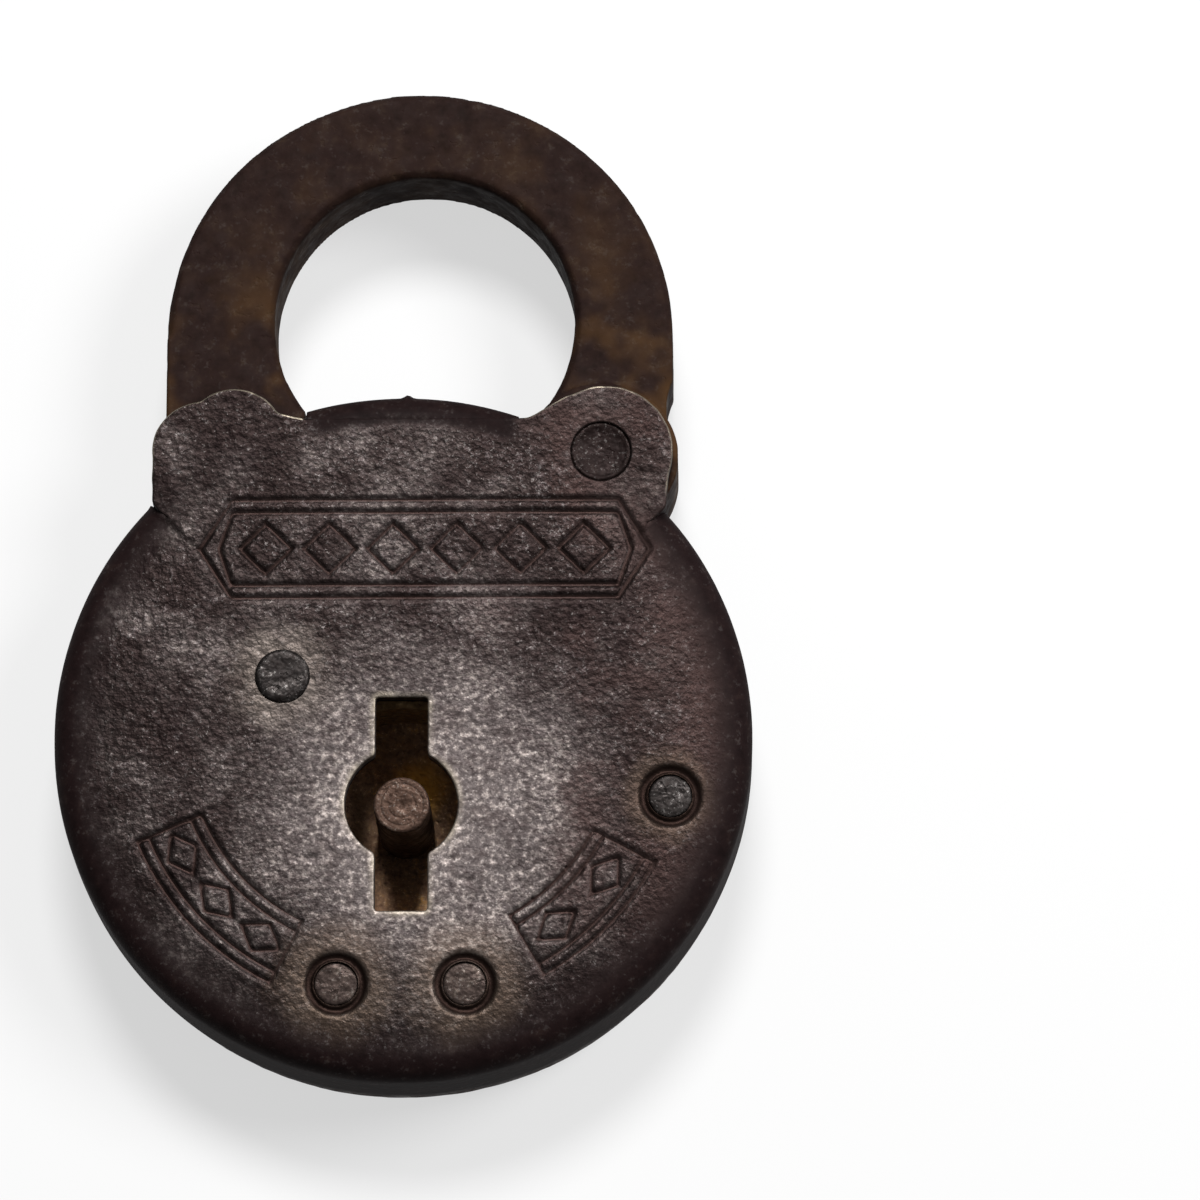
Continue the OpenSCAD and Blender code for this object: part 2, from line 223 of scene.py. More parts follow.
def lathe(name, at, profile, count=72):
    """A turned piece about a vertical axis. The profile runs from the axis, round the outside, to the axis."""
    verts, faces = [], []
    rings = []
    for r, z in profile:
        if r == 0:
            rings.append([len(verts)])
            verts.append((at[0], at[1], z))
            continue
        rings.append(list(range(len(verts), len(verts) + count)))
        for k in range(count):
            angle = 2 * math.pi * k / count
            verts.append((at[0] + r * math.cos(angle), at[1] + r * math.sin(angle), z))
    for a, b in zip(rings, rings[1:]):
        for k in range(count):
            m = (k + 1) % count
            if len(a) == 1:
                faces.append((a[0], b[k], b[m]))
            elif len(b) == 1:
                faces.append((a[k], b[0], a[m]))
            else:
                faces.append((a[k], b[k], b[m], a[m]))
    return new_mesh(name, verts, faces)


# ---- pressed shells ----

TURNED = (-1, 1, -1)                  # half a turn about y, which lays the back shell face up


def flat_loops(node, z, turned):
    """Outlines of a CAD shell's flat outer face, metal on the left; the largest comes first."""
    mesh = frame["nodes"][node].data
    co = points_of(mesh) * (TURNED if turned else 1)
    ids = {}
    index = [ids.setdefault(tuple(c), len(ids)) for c in np.round(co, 3)]
    places = np.array(list(ids))[:, :2]
    net = {}                          # runs of each edge one way, less its runs the other way
    for poly in mesh.polygons:
        if all(abs(co[v, 2] - z) < 2e-3 for v in poly.vertices):
            corner = [index[v] for v in poly.vertices]
            for a, b in zip(corner, corner[1:] + corner[:1]):
                net[a, b] = net.get((a, b), 0) + 1
                net[b, a] = net.get((b, a), 0) - 1
    follow = {a: b for (a, b), uses in net.items() if uses > 0}
    loops = []
    while follow:
        a = next(iter(follow))
        loop = []
        while a in follow:
            loop.append(a)
            a = follow.pop(a)
        loops.append(places[loop])
    area = [abs(np.sum(p[:, 0] * np.roll(p[:, 1], -1) - p[:, 1] * np.roll(p[:, 0], -1))) for p in loops]
    return [loops[k] for k in np.argsort(area)[::-1]]


def face_rim(outline, flat_r, step):
    """Even points along the face's outline, and the directions of those along the round wall, which come first.

    The points round the shoulders are rounded off and a little worn.
    """
    radius = np.linalg.norm(outline, axis=1)
    on_wall = (np.abs(radius - flat_r) < 0.02) & ((outline[:, 1] < 0) | (np.abs(outline[:, 0]) > 16))
    start = next(k for k in range(len(outline)) if on_wall[k] and not on_wall[k - 1])
    outline, on_wall = np.roll(outline, -start, axis=0), np.roll(on_wall, -start)
    run = int(np.argmin(on_wall))
    a0 = math.atan2(outline[0][1], outline[0][0])
    a1 = math.atan2(outline[run - 1][1], outline[run - 1][0]) + 2 * math.pi
    count = int((a1 - a0) * flat_r / (step * 1.25))
    angles = np.linspace(a0, a1, count)
    around = np.stack([np.cos(angles), np.sin(angles)], 1)
    rest = spaced(np.concatenate([outline[run - 1:], outline[:1]]), step * 0.9)
    last = int(np.argmin(np.linalg.norm(rest - outline[0], axis=1)))
    rim = np.concatenate([flat_r * around, rest[1:last]])
    rim = round_off(rim, 3, np.arange(len(rim)) < count)
    wobble = np.stack([noise(np.c_[rim, rim[:, 0]], 1.1, 5), noise(np.c_[rim, rim[:, 1]], 1.1, 6)], 1) * 0.05
    rim[count:] += wobble[count:]
    return rim, around


def face_net(inset, extra_points, step):
    """Points over the face inside its loops: a regular net, which gives way to the extra points."""
    edge = search_tree(np.concatenate(inset))
    across = np.arange(-32, 32, step)
    net = np.concatenate([np.stack([across + (k % 2) * step / 2, np.full(len(across), y)], 1)
                          for k, y in enumerate(np.arange(-34, 34, step * 0.866))])
    if len(extra_points):
        near = search_tree(extra_points)
        net = np.array([p for p in net if near.find((*p, 0))[2] > step * 0.7])
        net = np.concatenate([net, extra_points])
    net = net[is_inside(net, inset)]
    return np.array([p for p in net if edge.find((*p, 0))[2] > step * 0.55])


def shell(name, node, face_z, seam_z, out_r, round_r, mouth, holes, extra_points, step, turned=False):
    """A pressed half of the case: flat face with its shoulders, rounded edge and side wall, as one closed skin.

    The side wall leaves out the two mouths of the shackle: the long run is swept from the face's own
    outline, and the short run between the mouths is a closed piece that reaches up under the face.
    """
    flat_r = out_r - round_r
    outline, *inner_loops = flat_loops(node, face_z, turned)
    rim, around = face_rim(outline, flat_r, step)
    count = len(around)
    loops = [rim] + [round_off(spaced(h, step * 0.9), 2) for h in holes(inner_loops)]
    bevel = [np.full(len(p), BEVEL) for p in loops]
    bevel[0][:count] = 0
    for k in range(4):
        bevel[0][count + k] *= (k + 1) / 5
        bevel[0][-1 - k] *= (k + 1) / 5
    inset = [p + b[:, None] * left_of(p) for p, b in zip(loops, bevel)]
    net = face_net(inset, extra_points, step)
    verts, faces = [], []

    def row(flat, z):
        """Adds points at one height and gives their numbers."""
        start = sum(len(v) for v in verts)
        verts.append(np.c_[flat, np.full(len(flat), z)])
        return np.arange(start, start + len(flat))

    def strips(rows, pairs):
        """Adds faces from row to row at each pair of neighbours."""
        for i, j in pairs:
            for up, low in zip(rows, rows[1:]):
                faces.append((up[i], low[i], low[j], up[j]))

    # Flat face, and the cut edges of its shoulders and holes, down to its inner side.
    levels = [row(np.concatenate(inset), face_z)]
    row(net, face_z)
    faces += [tuple(f) for f in triangles(inset, net)]
    for share, drop in ((0.35, 0.04), (0.0, BEVEL), (0.0, 0.45), (0.0, 0.9), (0.0, WALL)):
        cut = np.concatenate([p + share * b[:, None] * left_of(p) for p, b in zip(loops, bevel)])
        levels.append(row(cut, face_z - drop))
    faces += [tuple(levels[-1][list(f)[::-1]]) for f in triangles(loops, [])]
    begin = 0
    for loop in loops:
        n = len(loop)
        first = begin if begin else count - 1          # the round wall hangs from the rim's first points
        strips(levels, [(k, begin + (k + 1 - begin) % n) for k in range(first, begin + n)])
        begin += n

    # Rounded edge and side wall, from the face's outline round to its inner side.
    bend_z = face_z - round_r
    wall_rows = np.linspace(bend_z, seam_z, max(4, int((bend_z - seam_z) / 0.42)))[1:]
    section = [(flat_r + round_r * math.sin(t), bend_z + round_r * math.cos(t))
               for t in np.radians(np.linspace(9, 90, 10))]
    section += [(out_r, z) for z in wall_rows]
    inner_bend = (round_r - WALL) * 0.7
    section += [(out_r - WALL, seam_z), (out_r - WALL, bend_z), (flat_r + inner_bend, bend_z + inner_bend)]
    columns = [levels[0][:count]] + [row(around * r, z) for r, z in section] + [levels[-1][:count]]
    strips(columns, [(k, k + 1) for k in range(count - 1)])
    for end in (0, count - 1):
        faces.append(tuple([c[end] for c in columns] + [level[end] for level in levels[-2:0:-1]]))

    # Short run of wall between the mouths.
    low_x, high_x = (-mouth[1], -mouth[0]) if turned else mouth
    hidden_r, inner_z = flat_r - 0.8, face_z - WALL
    short = [(hidden_r, face_z - 0.4)] + section[1:] + [(flat_r, inner_z), (hidden_r, inner_z)]
    n = int((high_x - low_x) / step)
    rows = []
    for r, z in short:
        t = np.linspace(math.acos(high_x / r), math.acos(low_x / r), n)
        rows.append(row(np.stack([r * np.cos(t), r * np.sin(t)], 1), z))
    for up, low in zip(rows, rows[1:] + rows[:1]):
        strips([up, low], [(k, k + 1) for k in range(n - 1)])
    for end in (0, n - 1):
        faces.append(tuple(r[end] for r in rows))
    return new_mesh(name, np.concatenate(verts) * (TURNED if turned else 1), faces)


CASE_LOW, CASE_HIGH = box_mm("front_case")
FACE_Z, SEAM_Z = CASE_HIGH[2], CASE_LOW[2]
CASE_R = radius_of("front_case")
BACK_R = radius_of("back_case")
WALL = 1.5
BEVEL = 0.14                          # broken edge along the shoulders and the holes
KEY = centre("key_post")
PIVOT = centre("pivot_rivet")
DOG = centre("dog_rivet")
DISHES = [centre(n) for n in ("left_lever_rivet", "right_lever_rivet", "spring_rivet")]
SHANK_R = 1.75
DISH_R, DISH_DEPTH = 2.55, 0.36
GROOVE_DEPTH, LIP_HEIGHT = 0.22, 0.05
MOUTHS = (-8.0, 9.43)                 # sides of the short run of wall between the shackle's ends
TOP_RIM = (-8.4, 9.9)                 # sides of the face's round edge between its lugs
LUG_BEARINGS = (40.7, 137.3)          # the lugs lie between these, in degrees round the case's centre


def band(corners, closed=True):
    corners = [np.array(c, float) for c in corners]
    ends = corners[1:] + corners[:1] if closed else corners[1:]
    return list(zip(corners, ends))


def lozenge(at, half_w, half_h, lean=0.0):
    c, s = math.cos(lean), math.sin(lean)
    shape = [(half_w, 0), (0, half_h), (-half_w, 0), (0, -half_h)]
    return band([(at[0] + c * x - s * y, at[1] + s * x + c * y) for x, y in shape])


def curved_panel(start, end, r_in, r_out):
    """Outline of a strip bent round the case's centre, with lozenges in it."""
    t = np.radians(np.linspace(start, end, 14))
    outer = [(r_out * math.cos(a), r_out * math.sin(a)) for a in t]
    inner = [(r_in * math.cos(a), r_in * math.sin(a)) for a in t[::-1]]
    lines = band(outer + inner)
    for r in (r_in + 0.95, r_out - 0.95):
        lines += band([(r * math.cos(a), r * math.sin(a)) for a in t], closed=False)
    mid = (r_in + r_out) / 2
    for a in np.radians(np.linspace(start, end, 2 * round((end - start) / 14) + 1)[1::2]):
        lines += lozenge((mid * math.cos(a), mid * math.sin(a)), 1.3, 1.9, a)
    return lines


def plain_panel():
    """Long straight panel with pointed ends, a line inside it and a row of lozenges."""
    x0, x1, y0, y1 = -14.0, 17.6, 11.2, 19.4
    mid = (y0 + y1) / 2
    lines = []
    for g in (0.0, 1.05):
        lines += band([(x0, y0 + g), (x1, y0 + g), (x1 + 2.6 - 1.5 * g, mid), (x1, y1 - g), (x0, y1 - g),
                       (x0 - 2.6 + 1.5 * g, mid)])
    for x in np.linspace(x0 + 2.8, x1 - 2.8, 6):
        lines += lozenge((x, mid), 2.1, 2.1)
    return lines


GROOVES = plain_panel() + curved_panel(203, 243, 17.6, 23.2) + curved_panel(300, 332, 17.6, 23.2)


def groove_points():
    """Close rows of points along each groove, so that it is cut sharply."""
    out = []
    for a, b in GROOVES:
        length = np.linalg.norm(b - a)
        u = (b - a) / length
        side = np.array([-u[1], u[0]])
        for k in range(int(length / 0.22)):
            for off in (-0.26, 0.0, 0.26):
                out.append(a + u * (k + 0.5) * 0.22 + side * off)
    out = np.array(out)
    cells = {tuple(c): p for c, p in zip(np.round(out / 0.13).astype(int), out)}
    return np.array(list(cells.values()))


def back_holes(loops):
    return loops


def front_holes(loops):
    """The keyhole and the pivot's recess as drawn, and plain round holes for the other rivets."""
    kept = [p for p in loops if np.linalg.norm(p.mean(0) - KEY) < 3 or np.linalg.norm(p.mean(0) - PIVOT) < 1]
    return kept + [ring(c, SHANK_R + 0.04, 48) for c in DISHES] + [ring(DOG, SHANK_R - 0.1, 48)]


def dish(points, at):
    """Depth of the dished mark round a rivet."""
    r = np.linalg.norm(points - at, axis=1)
    return DISH_DEPTH * (1 - ramp(r, DISH_R - 0.35, DISH_R + 0.22))


def weather_front(piece):
    """Cuts the face's grooves and dishes, sags its edge, roughens its skin and marks its worn edges."""
    mesh = piece.data
    p, n = points_of(mesh), normals_of(mesh)
    flat = p[:, :2]
    x, y, z = p.T
    radius = np.linalg.norm(flat, axis=1)
    from_key = np.linalg.norm(flat - KEY, axis=1)
    on_face = z > FACE_Z - 0.02

    # Dimpled skin, calmer on the right and nearly smooth round the keyhole, with waves and pits.
    away = to_lines(flat, GROOVES)
    groove = 1 - ramp(away, 0.1, 0.29)
    faded = 0.6 + 0.4 * ramp(noise(p, 7, 3), -0.5, 0.5)
    sunk = sum(dish(flat, c) for c in DISHES)
    top = ramp(z, FACE_Z - 1.6, FACE_Z - 0.4)
    dimples = noise(p, 0.52, 1) * 0.65 + noise(p, 1.0, 2) * 0.4 + noise(p, 0.38, 8) * 0.35
    calm = ramp(x * 0.8 - y * 0.2 + 5 * noise(p, 8, 17), 6, 18)
    smooth = 1 - 0.85 * ramp(-from_key - 3 * noise(p, 6, 19), -18, -9)
    move = dimples * (0.005 + 0.024 * top * (1 - 0.6 * calm) * smooth) * (1 - 0.8 * groove * on_face)
    move += noise(p, 6, 4) * 0.035 + noise(p, 14, 9) * 0.05
    pits = ramp(noise(p, 0.9, 12), 0.55, 0.95) * ramp(noise(p, 5, 13), -0.1, 0.6)
    move -= 0.06 * pits

    # Grooves with raised lips, dishes, the nib on the top rim and the burr on the lugs' outline.
    lip = np.exp(-((away - 0.44) / 0.13) ** 2)
    move[on_face] -= ((GROOVE_DEPTH * groove - LIP_HEIGHT * lip) * faded + sunk)[on_face]
    nib = np.exp(-((x - 0.3) / 0.35) ** 2) * (y > CASE_R - 0.8) * ramp(z, 8, 10)
    move += 0.28 * nib
    move += 0.04 * ramp(radius, 27, 28) * on_face * noise(p, 0.8, 14)

    # The edge sags all round except at the lugs.
    bearing = np.degrees(np.arctan2(y, x)) % 360
    free = (bearing > LUG_BEARINGS[1]) | (bearing < LUG_BEARINGS[0])
    share = 1 - ramp(y, 10, 24) * ~free
    sag = 0.55 * (np.clip(radius - 17.5, 0, 9.5) / 9.5) ** 2 * share * ramp(z, SEAM_Z + 1, FACE_Z - 1)
    shifted = p + n * move[:, None]
    shifted[:, 2] -= sag
    set_points(mesh, shifted)

    # Marks for the material.
    mark(mesh, "groove", groove * faded * on_face + (sunk / DISH_DEPTH) * on_face * 0.9)
    tilted = (n[:, 2] < 0.97) & (z > FACE_Z - 0.3)
    low_x, high_x = TOP_RIM
    between = (x > low_x) & (x < high_x) & (y > 23)
    # Band of painted shade along the round edge between the lugs.
    mark(mesh, "top_rim_shade", between * ramp(x, low_x, low_x + 1.9) * ramp(-x, -high_x, 1.9 - high_x) *
         ramp(radius, 25.4, 26.6) * ramp(z, 11, 12))
    lug = tilted & (radius > CASE_R - 2.0) & ~free & ~between & (np.linalg.norm(flat - PIVOT, axis=1) > 3.4)
    worn_away = ramp(noise(p, 1.1, 15), -0.1, 0.45) * ramp(noise(p, 4.5, 18), -0.35, 0.25)
    ends = ramp(bearing, 42, 48) * ramp(-bearing, -136, -130)
    slot = tilted & (from_key < 9.4)
    slot_edge = search_tree(p[slot])
    by_slot_edge = on_face & (from_key < 10)
    beside = np.zeros(len(p))
    beside[by_slot_edge] = [1 - min(1, slot_edge.find(q)[2] / 0.55) for q in p[by_slot_edge]]
    mark(mesh, "bare_edge", lug * ends * (0.25 + 0.85 * worn_away) +
         (slot * 0.35 + 0.22 * beside) * (0.35 + 0.65 * ramp(noise(p, 1.0, 16), -0.3, 0.4)))


def weather(piece, fine, broad, pit, pit_size, seed):
    """Uneven skin of rust: fine grain, broad waves and pits, all in mm."""
    mesh = piece.data
    p, n = points_of(mesh), normals_of(mesh)
    move = fine * (noise(p, 0.6, seed) * 0.6 + noise(p, 1.3, seed + 1) * 0.5)
    move += broad * noise(p, 6, seed + 2)
    move -= pit * ramp(noise(p, pit_size, seed + 3), 0.45, 0.9)
    set_points(mesh, p + n * move[:, None])


def fine_copy(node, name, voxel):
    """A closed copy of a CAD node in small even faces."""
    piece = put(name, frame["nodes"][node].data.copy())
    bm = bmesh.new()
    bm.from_mesh(piece.data)
    bmesh.ops.remove_doubles(bm, verts=bm.verts, dist=1e-7)
    bm.to_mesh(piece.data)
    bm.free()
    remesh = piece.modifiers.new("even", "REMESH")
    remesh.mode = "VOXEL"
    remesh.voxel_size = voxel * MM
    deps = bpy.context.evaluated_depsgraph_get()
    mesh = bpy.data.meshes.new_from_object(piece.evaluated_get(deps))
    piece.modifiers.clear()
    piece.data = mesh
    mesh.materials.clear()
    mesh.polygons.foreach_set("use_smooth", [True] * len(mesh.polygons))
    return piece


front = shell("front_shell", "front_case", FACE_Z, SEAM_Z, CASE_R, 2.2, MOUTHS, front_holes, groove_points(), 0.25)
weather_front(front)
back = shell("back_shell", "back_case", 0.0, -SEAM_Z, BACK_R, 1.8, MOUTHS, back_holes, [], 0.42, turned=True)
weather(back, 0.03, 0.04, 0.07, 1.0, 30)
bow = fine_copy("shackle", "bow", 0.25)
weather(bow, 0.022, 0.05, 0.05, 1.1, 40)

# Rivets: shanks through both shells with their worn ends.
low_z = box_mm("spring_rivet")[0][2]


def worn_rivet(name, at, top, seed):
    piece = lathe(name, at, [(0, low_z), (SHANK_R - 0.15, low_z), (SHANK_R, low_z + 0.12), (SHANK_R, 2),
                             (SHANK_R, top - 0.6), (SHANK_R, top - 0.14), (SHANK_R - 0.05, top - 0.04),
                             (SHANK_R - 0.2, top)] +
                  [(r, top + 0.05 * (1 - r / SHANK_R)) for r in np.linspace(SHANK_R - 0.4, 0.2, 8)] + [(0, top + 0.05)])
    weather(piece, 0.03, 0.02, 0.05, 0.7, seed)
    return piece


rivets = {}
for number, node in enumerate(("left_lever_rivet", "right_lever_rivet", "spring_rivet")):
    rivets[node] = worn_rivet(node + "_end", centre(node), box_mm(node)[1][2] - 0.09, 50 + 5 * number)

pivot_top = box_mm("pivot_rivet")[1][2]
head_r = radius_of("pivot_rivet")
rivets["pivot_rivet"] = lathe("pivot_rivet_end", PIVOT, [
    (0, low_z), (2.05, low_z), (2.2, low_z + 0.15), (2.2, 6), (2.2, pivot_top - 0.75), (head_r, pivot_top - 0.75),
    (head_r, pivot_top - 0.45), (head_r, pivot_top - 0.3), (head_r - 0.06, pivot_top - 0.16),
    (head_r - 0.2, pivot_top - 0.1)] +
    [(r, pivot_top - 0.1 - 0.28 * (1 - (r / head_r) ** 4)) for r in np.linspace(head_r - 0.4, 0.2, 10)] +
    [(0, pivot_top - 0.38)])
weather(rivets["pivot_rivet"], 0.025, 0.02, 0.05, 0.7, 65)

dog_top = box_mm("dog_rivet")[1][2] - 0.03
dog_r = 2.25
rivets["dog_rivet"] = lathe("dog_rivet_end", DOG, [
    (0, low_z), (1.45, low_z), (1.6, low_z + 0.12), (1.6, 6), (1.6, FACE_Z - 0.15), (dog_r - 0.06, FACE_Z - 0.1),
    (dog_r, FACE_Z + 0.02), (dog_r - 0.06, dog_top - 0.12), (dog_r - 0.3, dog_top)] +
    [(r, dog_top - 0.02 * math.sin(3 * r)) for r in np.linspace(dog_r - 0.5, 0.2, 9)] + [(0, dog_top)])
weather(rivets["dog_rivet"], 0.02, 0.015, 0.04, 0.7, 70)

# Key post with turned rings on its end.
post_low, post_top = box_mm("key_post")[0][2], box_mm("key_post")[1][2]
post_r = radius_of("key_post")
rings = [(r, post_top - 0.03 - 0.05 * math.exp(-((r - 1.72) / 0.09) ** 2) - 0.03 * math.exp(-((r - 1.1) / 0.1) ** 2)
          - 0.12 * math.exp(-(r / 0.3) ** 2)) for r in np.linspace(post_r - 0.3, 0.08, 34)]
post = lathe("key_post_end", KEY, [(0, post_low), (1.8, post_low), (1.8, 1.55), (post_r, 1.55)] +
             [(post_r, z) for z in np.linspace(2.2, post_top - 0.3, 18)] +
             [(post_r - 0.02, post_top - 0.16), (post_r - 0.12, post_top - 0.04), (post_r - 0.26, post_top - 0.02)] +
             rings + [(0, post_top - 0.15)], 96)
weather(post, 0.014, 0.01, 0.03, 0.5, 80)


# ---- materials ----

def add(tree, kind, inputs=None, **settings):
    """Adds a shader node, with its settings and its inputs given as values or as sockets to link."""
    node = tree.nodes.new(kind)
    for key, value in settings.items():
        setattr(node, key, value)
    for key, value in (inputs or {}).items():
        if isinstance(value, bpy.types.NodeSocket):
            tree.links.new(value, node.inputs[key])
        else:
            node.inputs[key].default_value = value
    return node


def math_node(tree, operation, a, b):
    return add(tree, "ShaderNodeMath", {0: a, 1: b}, operation=operation).outputs[0]


def times(tree, a, b):
    return math_node(tree, "MULTIPLY", a, b)


def plus(tree, a, b):
    return math_node(tree, "ADD", a, b)


def larger(tree, a, b):
    return math_node(tree, "MAXIMUM", a, b)


def mix_colour(tree, share, a, b):
    return add(tree, "ShaderNodeMix", {0: share, 6: a, 7: b}, data_type="RGBA").outputs[2]


def spread(tree, value, low, high, to_low=0.0, to_high=1.0):
    """Eases a value from one range into another."""
    return add(tree, "ShaderNodeMapRange", {0: value, 1: low, 2: high, 3: to_low, 4: to_high},
               interpolation_type="SMOOTHSTEP").outputs[0]


def texture(tree, where, scale, detail, roughness):
    return add(tree, "ShaderNodeTexNoise", {"Vector": where, "Scale": scale, "Detail": detail,
                                            "Roughness": roughness}).outputs[0]


def noise_node(tree, where, size, detail=3.0, roughness=0.6):
    """Noise with features of about size mm."""
    return texture(tree, where, 1 / (size * MM), detail, roughness)


def vector_node(tree, operation, a, b=(0, 0, 0)):
    return add(tree, "ShaderNodeVectorMath", {0: a, 1: b}, operation=operation)


def axis_mm(tree, where, axis):
    return times(tree, add(tree, "ShaderNodeSeparateXYZ", {0: where}).outputs[axis], 1000.0)


def radius_mm(tree, where):
    """Distance from the upright line through the case's centre."""
    flat = vector_node(tree, "MULTIPLY", where, (1000, 1000, 0)).outputs[0]
    return vector_node(tree, "LENGTH", flat).outputs["Value"]


def attribute(tree, name):
    """A number that the mesh keeps for each point."""
    return add(tree, "ShaderNodeAttribute", attribute_name=name).outputs["Fac"]


SOCKETS = {1: "NodeSocketFloat", 3: "NodeSocketVector", 4: "NodeSocketColor"}


def new_group(name, inputs, output, kind):
    """A node group with one output; its inputs are numbers, places of 3 values and colours of 4."""
    group = bpy.data.node_groups.new(name, "ShaderNodeTree")
    group.interface.new_socket("Vector", in_out="INPUT", socket_type=SOCKETS[3])
    for title, value in inputs.items():
        socket_type = SOCKETS[np.size(value)]
        group.interface.new_socket(title, in_out="INPUT", socket_type=socket_type).default_value = value
    group.interface.new_socket(output, in_out="OUTPUT", socket_type=kind)
    start, end = add(group, "NodeGroupInput"), add(group, "NodeGroupOutput")
    return group, start.outputs, lambda result: group.links.new(result, end.inputs[output])


def tint(r, g, b):
    """Screen colour, 0 to 255, as the shader takes it."""
    return tuple([c / 12.92 if c <= 0.04045 else ((c + 0.055) / 1.055) ** 2.4
                  for c in (r / 255, g / 255, b / 255)] + [1.0])


def build_patina():
    """Old oxide skin: a mottle of three tones, with fine light specks that are partly painted glints."""
    group, given, finish = new_group("oxide skin", {
        "Dark": (0.02, 0.015, 0.015, 1), "Middle": (0.06, 0.05, 0.05, 1), "Light": (0.15, 0.13, 0.12, 1),
        "Grain size": 0.45, "Lightness": 0.5, "Specks": 0.5}, "Color", SOCKETS[4])
    v = given["Vector"]
    size = math_node(group, "DIVIDE", 1000.0, given["Grain size"])
    grain = texture(group, v, size, 3.0, 0.7)
    broad = noise_node(group, v, 7.0, 4.0, 0.65)
    patch = noise_node(group, v, 2.2, 3.0, 0.6)
    tone = plus(group, times(group, grain, 0.62), times(group, broad, 0.25))
    tone = plus(group, tone, times(group, patch, 0.13))
    tone = plus(group, tone, math_node(group, "SUBTRACT", given["Lightness"], 0.5))
    colour = mix_colour(group, spread(group, tone, 0.3, 0.53), given["Dark"], given["Middle"])
    colour = mix_colour(group, spread(group, tone, 0.5, 0.72), colour, given["Light"])
    # Fine light specks: partly bare grains, partly painted glints.
    dots = texture(group, v, times(group, size, 2.3), 2.0, 0.8)
    dots = plus(group, dots, times(group, math_node(group, "SUBTRACT", tone, 0.5), 0.8))
    speck_and_glint = times(group, spread(group, dots, 0.58, 0.74), given["Specks"])
    speck_glint_colour = mix_colour(group, 0.45, given["Light"], (0.42, 0.4, 0.38, 1))
    finish(mix_colour(group, speck_and_glint, colour, speck_glint_colour))
    return group


def build_halo():
    """Mask round a point in the plane of the face: 1 within one radius, fading to 0 at another, ragged edge."""
    group, given, finish = new_group("ragged halo", {
        "Centre": (0, 0, 0), "Inner mm": 3.0, "Outer mm": 8.0, "Ragged": 0.3}, "Mask", SOCKETS[1])
    flat = vector_node(group, "MULTIPLY", given["Vector"], (1, 1, 0)).outputs[0]
    off = vector_node(group, "DISTANCE", flat, given["Centre"]).outputs["Value"]
    wild = math_node(group, "SUBTRACT", noise_node(group, given["Vector"], 3.0, 4.0, 0.7), 0.5)
    stray = times(group, wild, times(group, given["Ragged"], given["Outer mm"]))
    finish(spread(group, plus(group, times(group, off, 1000.0), stray), given["Inner mm"], given["Outer mm"],
                  1.0, 0.0))
    return group


def build_grit():
    """Heights for pitted, grainy metal, in shares of the bump distance."""
    group, given, finish = new_group("pitted grain", {"Grain size": 0.3, "Pits": 0.5}, "Height", SOCKETS[1])
    v = given["Vector"]
    size = math_node(group, "DIVIDE", 1000.0, given["Grain size"])
    fine = texture(group, v, size, 1.0, 0.5)
    pebble = texture(group, v, times(group, size, 0.45), 0.0, 0.5)
    holes = spread(group, noise_node(group, v, 0.7, 2.0, 0.5), 0.6, 0.75)
    height = math_node(group, "SUBTRACT", fine, times(group, holes, given["Pits"]))
    finish(plus(group, height, times(group, pebble, 1.1)))
    return group


patina, halo, grit = build_patina(), build_halo(), build_grit()


def use_group(tree, group, inputs):
    return add(tree, "ShaderNodeGroup", inputs, node_tree=group).outputs[0]


def skin(tree, where, dark, middle, light, grain, lightness, specks):
    """Oxide skin in three screen colours, with grains of that many mm."""
    return use_group(tree, patina, {"Vector": where, "Dark": tint(*dark), "Middle": tint(*middle),
                                    "Light": tint(*light), "Grain size": grain, "Lightness": lightness,
                                    "Specks": specks})


def round_mask(tree, where, at, inner, outer, ragged):
    """The halo round a point in mm."""
    return use_group(tree, halo, {"Vector": where, "Centre": (at[0] * MM, at[1] * MM, 0.0), "Inner mm": inner,
                                  "Outer mm": outer, "Ragged": ragged})


def grain_height(tree, where, grain, pits):
    return use_group(tree, grit, {"Vector": where, "Grain size": grain, "Pits": pits})


def new_material(name, metallic, specular):
    material = bpy.data.materials.new(name)
    material.use_nodes = True
    tree = material.node_tree
    shader = tree.nodes["Principled BSDF"]
    shader.inputs["Metallic"].default_value = metallic
    shader.inputs["Specular IOR Level"].default_value = specular
    where = add(tree, "ShaderNodeTexCoord").outputs["Object"]
    return material, tree, shader, where


def finish_material(tree, shader, colour, rough, height, bump_mm):
    tree.links.new(colour, shader.inputs["Base Color"])
    tree.links.new(rough, shader.inputs["Roughness"])
    node = add(tree, "ShaderNodeBump", {"Height": height, "Distance": bump_mm * MM, "Strength": 1.0})
    tree.links.new(node.outputs[0], shader.inputs["Normal"])


